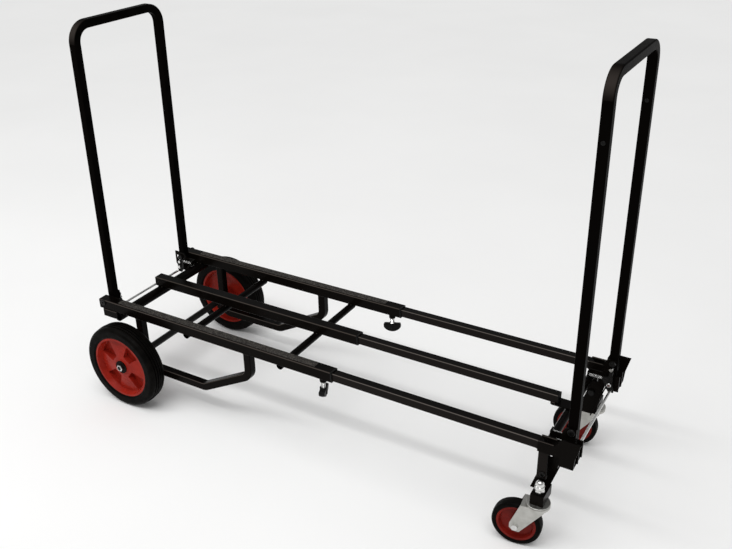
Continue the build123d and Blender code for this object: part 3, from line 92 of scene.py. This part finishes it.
# Weld beads: their own shape, then where they start and end on the pieces
weld_radius = 0.0019
weld_sink = 0.0010
weld_ripple = 0.0030
weld_valley = 0.78
weld_tail = 0.60
weld_sides = 8
weld_steps_per_ripple = 4
ring_bead_corners = 28
square_bead_cut = 0.75
cross_bead_spread = 0.22
cross_bead_drop = 0.0012
carrier_half = 0.010
carrier_rear_x = -0.510
bracket_bead_start = 0.017
wall_bead_drop = 0.0006
wall_bead_rear = 0.022
wall_bead_front = 0.010
plate_bead_rear = 0.002
plate_bead_front = 0.004
plate_bead_half = 0.0045
plate_bead_margin = 0.004
plate_bead_drop = 0.0008

# Latch springs, clamp threads and the screws on the front handle
spring_wire = 0.0013
spring_turns = 11
spring_end_ease = 0.35
spring_steps_per_turn = 28
spring_sides = 10
thread_pitch = 0.0015
thread_height = 0.0004
thread_half_share = 0.42
thread_root_sink = 0.0002
thread_steps_per_turn = 24
handle_size = 0.020
screw_drop = 0.1215
screw_radius = 0.0042
screw_height = 0.0022
screw_rings = ((0.45, 0.93), (0.78, 0.70), (0.96, 0.35), (1.0, 0.0))
screw_corners = 32
screw_tip = 0.50
slot_half = 0.22
slot_reach = 0.80
slot_floor = 0.55


# Materials
def plain(name, colour, roughness, metallic=0.0, specular=0.5):
    """New material with one principled shader: (material, its tree, the shader)."""
    material = bpy.data.materials.new(name)
    material.use_nodes = True
    tree = material.node_tree
    shader = tree.nodes["Principled BSDF"]
    shader.inputs["Base Color"].default_value = (*colour, 1.0)
    shader.inputs["Roughness"].default_value = roughness
    shader.inputs["Metallic"].default_value = metallic
    shader.inputs["Specular IOR Level"].default_value = specular
    return material, tree, shader


def noise(tree, size, detail, stretch=(1.0, 1.0, 1.0)):
    """Noise whose grains are about size across, fixed to the object."""
    place = tree.nodes.new("ShaderNodeTexCoord")
    mapping = tree.nodes.new("ShaderNodeMapping")
    mapping.inputs["Scale"].default_value = stretch
    texture = tree.nodes.new("ShaderNodeTexNoise")
    texture.inputs["Scale"].default_value = 1.0 / size
    texture.inputs["Detail"].default_value = detail
    tree.links.new(place.outputs["Object"], mapping.inputs["Vector"])
    tree.links.new(mapping.outputs["Vector"], texture.inputs["Vector"])
    return texture.outputs["Fac"]


def colour_by(tree, shader, source, low, high, low_at=0.35, high_at=0.65):
    """Base colour runs from low to high as the source does."""
    ramp = tree.nodes.new("ShaderNodeValToRGB")
    ramp.color_ramp.elements[0].position = low_at
    ramp.color_ramp.elements[0].color = (*low, 1.0)
    ramp.color_ramp.elements[1].position = high_at
    ramp.color_ramp.elements[1].color = (*high, 1.0)
    tree.links.new(source, ramp.inputs["Fac"])
    tree.links.new(ramp.outputs["Color"], shader.inputs["Base Color"])


def roughness_by(tree, shader, source, low, high):
    """Roughness runs from low to high as the source does."""
    spread = tree.nodes.new("ShaderNodeMapRange")
    spread.inputs["From Min"].default_value = noise_low
    spread.inputs["From Max"].default_value = noise_high
    spread.inputs["To Min"].default_value = low
    spread.inputs["To Max"].default_value = high
    tree.links.new(source, spread.inputs["Value"])
    tree.links.new(spread.outputs["Result"], shader.inputs["Roughness"])


def bump_by(tree, shader, source, depth):
    """Fine relief of that depth in metres."""
    bump = tree.nodes.new("ShaderNodeBump")
    bump.inputs["Distance"].default_value = depth
    tree.links.new(source, bump.inputs["Height"])
    tree.links.new(bump.outputs["Normal"], shader.inputs["Normal"])


def combine(tree, operation, first, second):
    """Result of one sum on two sockets or numbers, kept from 0 to 1."""
    node = tree.nodes.new("ShaderNodeMath")
    node.operation = operation
    node.use_clamp = True
    for socket, value in zip(node.inputs, (first, second)):
        if isinstance(value, float):
            socket.default_value = value
        else:
            tree.links.new(value, socket)
    return node.outputs["Value"]


def tint_by(tree, shader, share, colour):
    """Base colour goes over to another one by a share from 0 to 1."""
    mix = tree.nodes.new("ShaderNodeMixRGB")
    before = shader.inputs["Base Color"].links[0].from_socket
    mix.inputs["Color2"].default_value = (*colour, 1.0)
    tree.links.new(share, mix.inputs["Fac"])
    tree.links.new(before, mix.inputs["Color1"])
    tree.links.new(mix.outputs["Color"], shader.inputs["Base Color"])


def black_enamel(name, painted_side_light, painted_edge_highlight, specular):
    """Black paint with painted light: lighter on its sides and a painted highlight along its upper
    edges.
    """
    material, tree, shader = plain(name, (0.002, 0.0016, 0.0014), 0.22, specular=specular)
    colour_by(tree, shader, noise(tree, 0.035, 6.0), (0.0012, 0.0010, 0.0008), (0.0028, 0.0022, 0.0019))
    # The object-space normal picks out the sides and the upper edges, where light is painted into the
    # colour
    place = tree.nodes.new("ShaderNodeTexCoord")
    normal = tree.nodes.new("ShaderNodeSeparateXYZ")
    tree.links.new(place.outputs["Normal"], normal.inputs["Vector"])
    squared = combine(tree, "MULTIPLY", normal.outputs["Y"], normal.outputs["Y"])
    upward = combine(tree, "MAXIMUM", normal.outputs["Z"], 0.0)
    edge = combine(tree, "MULTIPLY", combine(tree, "MULTIPLY", squared, upward), painted_highlight_gain)
    # Painted light: sides lighter, upper edges lighter still as a painted highlight
    tint_by(tree, shader, combine(tree, "MULTIPLY", squared, squared), painted_side_light)
    tint_by(tree, shader, edge, painted_edge_highlight)
    roughness_by(tree, shader, noise(tree, 0.020, 5.0), 0.17, 0.29)
    bump_by(tree, shader, noise(tree, 0.0020, 2.0), 0.00003)
    return material


def black_steel():
    """Blackened steel, a little rough."""
    base = (0.006, 0.0055, 0.005)
    material, tree, shader = plain("black_steel", base, 0.36, metallic=0.2, specular=0.15)
    colour_by(tree, shader, noise(tree, 0.006, 5.0), (0.0035, 0.0032, 0.003), (0.009, 0.0085, 0.008))
    roughness_by(tree, shader, noise(tree, 0.003, 4.0), 0.28, 0.46)
    bump_by(tree, shader, noise(tree, 0.0010, 3.0), 0.00002)
    return material


def red_plastic(name, dark, light):
    """Smooth moulded plastic, cloudy between two reds."""
    material, tree, shader = plain(name, light, 0.24, specular=0.08)
    colour_by(tree, shader, noise(tree, 0.030, 5.0), dark, light)
    roughness_by(tree, shader, noise(tree, 0.012, 5.0), 0.16, 0.32)
    bump_by(tree, shader, noise(tree, 0.0020, 3.0), 0.00003)
    return material


def tyre_rubber():
    """Dull black rubber."""
    material, tree, shader = plain("tyre_rubber", (0.002, 0.0017, 0.0014), 0.5, specular=0.035)
    colour_by(tree, shader, noise(tree, 0.018, 7.0), (0.0012, 0.0010, 0.0008), (0.0034, 0.0028, 0.0023))
    roughness_by(tree, shader, noise(tree, 0.010, 6.0), 0.38, 0.62)
    bump_by(tree, shader, noise(tree, 0.0012, 4.0), 0.00008)
    return material


def zinc_plate():
    """Grey plating with a fine grain drawn out along Z."""
    material, tree, shader = plain("zinc_plate", (0.46, 0.455, 0.43), 0.36, metallic=1.0)
    colour_by(tree, shader, noise(tree, 0.015, 5.0), (0.42, 0.415, 0.39), (0.50, 0.495, 0.47))
    roughness_by(tree, shader, noise(tree, 0.006, 5.0), 0.30, 0.44)
    bump_by(tree, shader, noise(tree, 0.0012, 3.0, (1.0, 1.0, 0.15)), 0.00001)
    return material


def bright_steel():
    """Clean bright metal."""
    material, tree, shader = plain("bright_steel", (0.66, 0.66, 0.65), 0.14, metallic=1.0)
    colour_by(tree, shader, noise(tree, 0.010, 4.0), (0.60, 0.60, 0.59), (0.72, 0.72, 0.71))
    roughness_by(tree, shader, noise(tree, 0.005, 4.0), 0.10, 0.20)
    return material


def black_plastic():
    """Half dull black plastic."""
    material, tree, shader = plain("black_plastic", (0.003, 0.003, 0.003), 0.42, specular=0.10)
    colour_by(tree, shader, noise(tree, 0.010, 5.0), (0.002, 0.002, 0.002), (0.0045, 0.0043, 0.0042))
    roughness_by(tree, shader, noise(tree, 0.004, 5.0), 0.34, 0.52)
    bump_by(tree, shader, noise(tree, 0.0009, 2.0), 0.00003)
    return material


def grip_rubber():
    """Speckled rough rubber."""
    material, tree, shader = plain("grip_rubber", (0.03, 0.028, 0.025), 0.80, specular=0.2)
    grain = noise(tree, 0.0030, 3.0)
    colour_by(tree, shader, grain, (0.0075, 0.0066, 0.0058), (0.062, 0.056, 0.049), 0.42, 0.64)
    roughness_by(tree, shader, noise(tree, 0.006, 4.0), 0.66, 0.92)
    bump_by(tree, shader, noise(tree, 0.0020, 3.0), 0.00030)
    return material


finishes = {
    "black_paint": black_enamel(
        "black_enamel",
        # Painted light: slightly lighter sides and a faint painted highlight on the upper edges
        painted_side_light=(0.0034, 0.0025, 0.0019),
        painted_edge_highlight=(0.060, 0.050, 0.043),
        specular=0.03,
    ),
    "black_steel": black_steel(),
    "red_plastic": red_plastic("red_plastic", dark=(0.24, 0.013, 0.007), light=(0.325, 0.020, 0.011)),
    "tyre_rubber": tyre_rubber(),
    "zinc": zinc_plate(),
    "bright_steel": bright_steel(),
    "black_plastic": black_plastic(),
    "grip": grip_rubber(),
}
# Darker copy of the hub red, used on the castor hubs as painted shade
deep_red = red_plastic("deep_red_plastic", dark=(0.125, 0.007, 0.0045), light=(0.18, 0.011, 0.007))
# Inner rails: stronger painted light, lighter sides and a brighter painted highlight on the upper edges
painted_sheen_enamel = black_enamel(
    "painted_sheen_enamel",
    painted_side_light=(0.0085, 0.0066, 0.0056),
    painted_edge_highlight=(0.110, 0.095, 0.085),
    specular=0.05,
)
# Handles: little gloss and only faint painted light on sides and upper edges
handle_enamel = black_enamel(
    "handle_enamel",
    painted_side_light=(0.0024, 0.0019, 0.0016),
    painted_edge_highlight=(0.030, 0.025, 0.022),
    specular=0.003,
)

# Each node takes the finish of its slot, apart from those that look different in the photograph
own_finish = {
    "near_inner_rail": painted_sheen_enamel,
    "far_inner_rail": painted_sheen_enamel,
    "centre_inner_rail": painted_sheen_enamel,
    "rear_handle_tube": handle_enamel,
    "front_handle_tube": handle_enamel,
    # Castor hubs in the darker red copy: painted shade
    "near_castor_hub": deep_red,
    "far_castor_hub": deep_red,
    # Axle washers in the darker black enamel: painted shade of the hub's centre
    "axle_washers": finishes["black_paint"],
    "axle_nuts": finishes["bright_steel"],
}
slot_of = {part["node"]: part["material_slot"] for part in frame["record"]["subparts"]}
for node_name, node in nodes.items():
    node.data.materials.clear()
    node.data.materials.append(own_finish.get(node_name, finishes[slot_of[node_name]]))


# Added pieces
def piece(name, mesh, slot, body=None, smooth=True):
    """Object from a bmesh, with a slot's finish, riding on a body if one is given."""
    data = bpy.data.meshes.new(name)
    bmesh.ops.recalc_face_normals(mesh, faces=mesh.faces)
    mesh.to_mesh(data)
    mesh.free()
    for face in data.polygons:
        face.use_smooth = smooth
    made = bpy.data.objects.new(name, data)
    bpy.context.scene.collection.objects.link(made)
    data.materials.append(finishes[slot])
    if body:
        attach(made, body)
    return made


def add_tube(mesh, path, radii, sides, closed=False):
    """Round tube along a path into a bmesh, with its own radius at each point."""
    count = len(path)
    rings = []
    normal = None
    for index, point in enumerate(path):
        ahead = path[(index + 1) % count] if closed or index + 1 < count else point
        behind = path[index - 1] if closed or index > 0 else point
        heading = (ahead - behind).normalized()
        if normal is None:
            helper = Vector((0, 0, 1)) if abs(heading.z) < upright_rise else Vector((1, 0, 0))
            normal = heading.cross(helper).normalized()
        normal = (normal - heading * normal.dot(heading)).normalized()
        other = heading.cross(normal)
        ring = []
        for side in range(sides):
            angle = 2 * math.pi * side / sides
            offset = (normal * math.cos(angle) + other * math.sin(angle)) * radii[index]
            ring.append(mesh.verts.new(point + offset))
        rings.append(ring)
    for index in range(count if closed else count - 1):
        here, there = rings[index], rings[(index + 1) % count]
        for side in range(sides):
            after = (side + 1) % sides
            mesh.faces.new((here[side], here[after], there[after], there[side]))
    if not closed:
        mesh.faces.new(rings[0])
        mesh.faces.new(rings[-1])


def add_weld(mesh, corners, closed=False):
    """Rippled weld bead along straight runs between corners."""
    runs = list(zip(corners, corners[1:] + corners[:1])) if closed else list(zip(corners, corners[1:]))
    path = []
    radii = []
    step = weld_ripple / weld_steps_per_ripple
    travelled = 0.0
    for start, end in runs:
        steps = max(2, round((end - start).length / step))
        for index in range(steps):
            path.append(start.lerp(end, index / steps))
            wave = abs(math.sin(math.pi * travelled / weld_ripple))
            radii.append(weld_radius * (weld_valley + (1 - weld_valley) * wave))
            travelled += (end - start).length / steps
    if not closed:
        path.append(runs[-1][1])
        radii.append(weld_radius * weld_tail)
        radii[0] = weld_radius * weld_tail
    add_tube(mesh, path, radii, weld_sides, closed)


def ring_y(x, y, z, radius):
    """Corners of a circle round a line along Y."""
    corners = []
    for index in range(ring_bead_corners):
        angle = 2 * math.pi * index / ring_bead_corners
        corners.append(Vector((x + radius * math.cos(angle), y, z + radius * math.sin(angle))))
    return corners


def square_z(x, y, z, half):
    """Corners of a level square, cut off a little."""
    cut = half * square_bead_cut
    quarter = ((half, cut), (cut, half))
    corners = []
    for cos_turn, sin_turn in ((1, 0), (0, 1), (-1, 0), (0, -1)):
        for dx, dy in quarter:
            corner_x = x + dx * cos_turn - dy * sin_turn
            corner_y = y + dx * sin_turn + dy * cos_turn
            corners.append(Vector((corner_x, corner_y, z)))
    return corners


def middle(node_name):
    """Middle of a node's box."""
    low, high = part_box(node_name)
    return (Vector(low) + Vector(high)) / 2


rail_low, rail_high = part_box("near_outer_rail")
rail_bottom = rail_low[2]
rail_outer_y = abs(rail_low[1])
rail_inner_y = abs(rail_high[1])
rail_y = (rail_outer_y + rail_inner_y) / 2
rail_half = (rail_outer_y - rail_inner_y) / 2


def under_rails(mesh, tube_name):
    """Two beads along a round cross tube under each rail, where they meet."""
    centre = middle(tube_name)
    low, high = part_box(tube_name)
    reach = (high[0] - low[0]) * cross_bead_spread
    bead_z = rail_bottom - cross_bead_drop
    tube_end = min(high[1], rail_outer_y)
    for ends in ((-tube_end, -rail_inner_y), (-rail_half, rail_half), (rail_inner_y, tube_end)):
        for offset in (-reach, reach):
            add_weld(mesh, [Vector((centre.x + offset, y, bead_z)) for y in ends])


# Weld beads of the rear frame
rear_welds = bmesh.new()
for tube_name in ("rear_cross_tube", "carrier_cross_tube", "middle_cross_tube"):
    under_rails(rear_welds, tube_name)
carrier_front_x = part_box("near_axle_carrier")[1][0] - carrier_half
bracket_rear_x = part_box("near_rear_bracket")[0][0]
bracket_ends = (bracket_rear_x + bracket_bead_start, middle("rear_cross_tube").x)
for side in (-1, 1):
    for leg_x in (carrier_rear_x, carrier_front_x):
        around_leg = square_z(leg_x, side * rail_y, rail_bottom - weld_sink, carrier_half)
        add_weld(rear_welds, around_leg, closed=True)
    seam_y = side * (rail_outer_y + weld_sink / 2)
    add_weld(rear_welds, [Vector((x, seam_y, rail_bottom - weld_sink / 2)) for x in bracket_ends])
piece("rear_weld_beads", rear_welds, "black_paint", "rear_frame")

# Weld beads of the front frame
front_welds = bmesh.new()
slide_low, slide_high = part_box("near_inner_rail")
slide_outer_y = abs(slide_low[1])
slide_inner_y = abs(slide_high[1])
front_cross = middle("front_cross_tube")
front_low, front_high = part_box("front_cross_tube")
front_radius = (front_high[2] - front_low[2]) / 2
plate_low, plate_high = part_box("centre_support_plate")
tube_front_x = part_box("centre_inner_rail")[1][0]
tube_side_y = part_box("centre_inner_rail")[1][1]
wall_top = slide_high[2] - wall_bead_drop
wall_ends = (slide_high[0] - wall_bead_rear, slide_high[0] + wall_bead_front)
plate_sides = (plate_low[1] + plate_bead_margin, plate_high[1] - plate_bead_margin)
plate_ends = (plate_low[0] + plate_bead_rear, tube_front_x - plate_bead_front)
for side in (-1, 1):
    around_tube = ring_y(front_cross.x, side * slide_inner_y, front_cross.z, front_radius)
    add_weld(front_welds, around_tube, closed=True)
    for wall_y in (slide_inner_y, slide_outer_y):
        add_weld(front_welds, [Vector((x, side * wall_y, wall_top)) for x in wall_ends])
    add_weld(front_welds, [Vector((x, side * tube_side_y, plate_high[2])) for x in plate_ends])
    seam_x = front_cross.x + side * plate_bead_half
    add_weld(front_welds, [Vector((seam_x, y, plate_low[2] - plate_bead_drop)) for y in plate_sides])
piece("front_weld_beads", front_welds, "black_paint", "front_frame")


# Latch springs
def add_spring(mesh, start, end, coil_radius):
    """Wound spring along X with closed end turns."""
    steps = spring_turns * spring_steps_per_turn
    length = end.x - start.x
    path = []
    for step in range(steps + 1):
        part = step / steps
        eased = part - spring_end_ease / spring_turns * math.sin(2 * math.pi * part)
        angle = 2 * math.pi * spring_turns * part
        around = Vector((0, math.cos(angle), math.sin(angle))) * coil_radius
        path.append(start + Vector((length * eased, 0, 0)) + around)
    add_tube(mesh, path, [spring_wire / 2] * len(path), spring_sides)


# Each spring is wound along its node's box in place of that node, which is hidden
spring_sets = (
    ("rear_latch_spring", "rear_wound_spring", "rear", (1,)),
    ("front_latch_springs", "front_wound_springs", "front", (-1, 1)),
)
for node_name, made_name, end_name, spring_places in spring_sets:
    low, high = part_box(node_name)
    spring_mesh = bmesh.new()
    coil_radius = (high[2] - low[2] - spring_wire) / 2
    coil_y = high[1] - spring_wire / 2 - coil_radius
    coil_z = (low[2] + high[2]) / 2
    for side in spring_places:
        first = Vector((low[0] + spring_wire / 2, side * coil_y, coil_z))
        last = Vector((high[0] - spring_wire / 2, side * coil_y, coil_z))
        add_spring(spring_mesh, first, last, coil_radius)
    spring = piece(made_name, spring_mesh, "bright_steel")
    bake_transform(spring)
    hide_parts(node_name)


# Threads on the clamp screws between boss and knob
def add_thread(mesh, centre, bottom, top, radius):
    """Ridge wound up a screw from bottom to top."""
    turns = (top - bottom - thread_pitch) / thread_pitch
    steps = round(turns * thread_steps_per_turn)
    half = thread_pitch * thread_half_share
    rows = []
    for step in range(steps + 1):
        angle = 2 * math.pi * turns * step / steps
        height = bottom + half + thread_pitch * turns * step / steps
        outward = Vector((math.cos(angle), math.sin(angle), 0))
        root = centre + outward * (radius - thread_root_sink)
        crest = centre + outward * (radius + thread_height)
        rows.append(
            (
                mesh.verts.new((root.x, root.y, height - half)),
                mesh.verts.new((crest.x, crest.y, height)),
                mesh.verts.new((root.x, root.y, height + half)),
            )
        )
    for here, there in zip(rows, rows[1:]):
        for edge in range(len(here)):
            after = (edge + 1) % len(here)
            mesh.faces.new((here[edge], here[after], there[after], there[edge]))
    mesh.faces.new(rows[0])
    mesh.faces.new(rows[-1])


boss_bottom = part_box("clamp_bosses")[0][2]
for side_name in ("near", "far"):
    screw_low, screw_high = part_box(side_name + "_clamp_screw")
    knob_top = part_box(side_name + "_clamp_knob")[1][2]
    thread_mesh = bmesh.new()
    screw_axis = middle(side_name + "_clamp_screw")
    screw_axis.z = 0
    add_thread(thread_mesh, screw_axis, knob_top, boss_bottom, (screw_high[0] - screw_low[0]) / 2)
    piece(side_name + "_clamp_thread", thread_mesh, "bright_steel", side_name + "_clamp", smooth=False)


# Small cross-head screws on the front handle's legs
def add_screw(mesh, place, outward):
    """Domed head with a cross cut into it, standing on a face."""
    rings = []
    turn = outward.to_track_quat("Z", "Y").to_matrix()
    for share, rise in screw_rings:
        ring = []
        for step in range(screw_corners):
            angle = 2 * math.pi * step / screw_corners
            in_slot = min(abs(math.sin(angle)), abs(math.cos(angle))) < slot_half and share < slot_reach
            height = screw_height * rise * (slot_floor if in_slot else 1.0)
            across = share * screw_radius
            local = Vector((across * math.cos(angle), across * math.sin(angle), height))
            ring.append(mesh.verts.new(place + turn @ local))
        rings.append(ring)
    tip = mesh.verts.new(place + turn @ Vector((0, 0, screw_height * screw_tip)))
    for step in range(screw_corners):
        after = (step + 1) % screw_corners
        mesh.faces.new((tip, rings[0][step], rings[0][after]))
        for inner, outer in zip(rings, rings[1:]):
            mesh.faces.new((inner[step], outer[step], outer[after], inner[after]))
    mesh.faces.new(rings[-1])


screws = bmesh.new()
handle_low, handle_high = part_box("front_handle_tube")
top_x = handle_low[0] + handle_size / 2
foot_x = handle_high[0] - handle_size / 2
screw_x = top_x + (foot_x - top_x) * screw_drop / (handle_high[2] - handle_low[2])
for face_y in (handle_low[1], handle_high[1] - handle_size):
    add_screw(screws, Vector((screw_x, face_y, handle_high[2] - screw_drop)), Vector((0, -1, 0)))
piece("front_handle_screws", screws, "black_steel", "front_handle", smooth=False)


# Floor, light and camera
def pale_floor():
    """Nearly white dull floor."""
    material, tree, shader = plain("pale_floor", (0.93, 0.93, 0.925), 0.9, specular=0.05)
    colour_by(tree, shader, noise(tree, 0.8, 3.0), (0.92, 0.92, 0.915), (0.94, 0.94, 0.935))
    return material


floor_mesh = bpy.data.meshes.new("floor")
floor_signs = ((-1, -1), (1, -1), (1, 1), (-1, 1))
floor_corners = [(floor_half * x_sign, floor_half * y_sign, 0) for x_sign, y_sign in floor_signs]
floor_mesh.from_pydata(floor_corners, [], [(0, 1, 2, 3)])
floor_mesh.materials.append(pale_floor())
floor = bpy.data.objects.new("floor", floor_mesh)
bpy.context.scene.collection.objects.link(floor)

world = bpy.data.worlds.new("studio")
world.use_nodes = True
sky = world.node_tree.nodes["Background"]
sky.inputs["Color"].default_value = (1.0, 1.0, 1.0, 1.0)
sky.inputs["Strength"].default_value = sky_strength
bpy.context.scene.world = world


def lamp(name, kind, place, target, energy):
    """Lamp at a place, turned towards a target."""
    data = bpy.data.lights.new(name, kind)
    data.energy = energy
    made = bpy.data.objects.new(name, data)
    made.location = place
    made.rotation_euler = (Vector(target) - Vector(place)).to_track_quat("-Z", "Y").to_euler()
    bpy.context.scene.collection.objects.link(made)
    return data


overhead = lamp("overhead", "SUN", overhead_place, overhead_target, overhead_strength)
overhead.angle = overhead_spread
strip = lamp("strip", "AREA", strip_place, strip_target, strip_watts)
strip.shape = "RECTANGLE"
strip.size = strip_length
strip.size_y = strip_width

camera_data = bpy.data.cameras.new("camera")
camera_data.sensor_width = sensor_width
camera_data.lens = focal_pixels / image_width * sensor_width
camera_data.shift_x, camera_data.shift_y = camera_shift
camera_data.clip_end = farthest_view
camera = bpy.data.objects.new("camera", camera_data)
bpy.context.scene.collection.objects.link(camera)
aim = Matrix.Rotation(camera_yaw, 4, "Z") @ Matrix.Rotation(math.pi / 2 - camera_pitch, 4, "X")
level = Matrix.Rotation(-camera_roll, 4, "Z")
camera.matrix_world = Matrix.Translation(camera_place) @ (aim @ level)
bpy.context.scene.camera = camera
bpy.context.scene.view_settings.view_transform = "Standard"
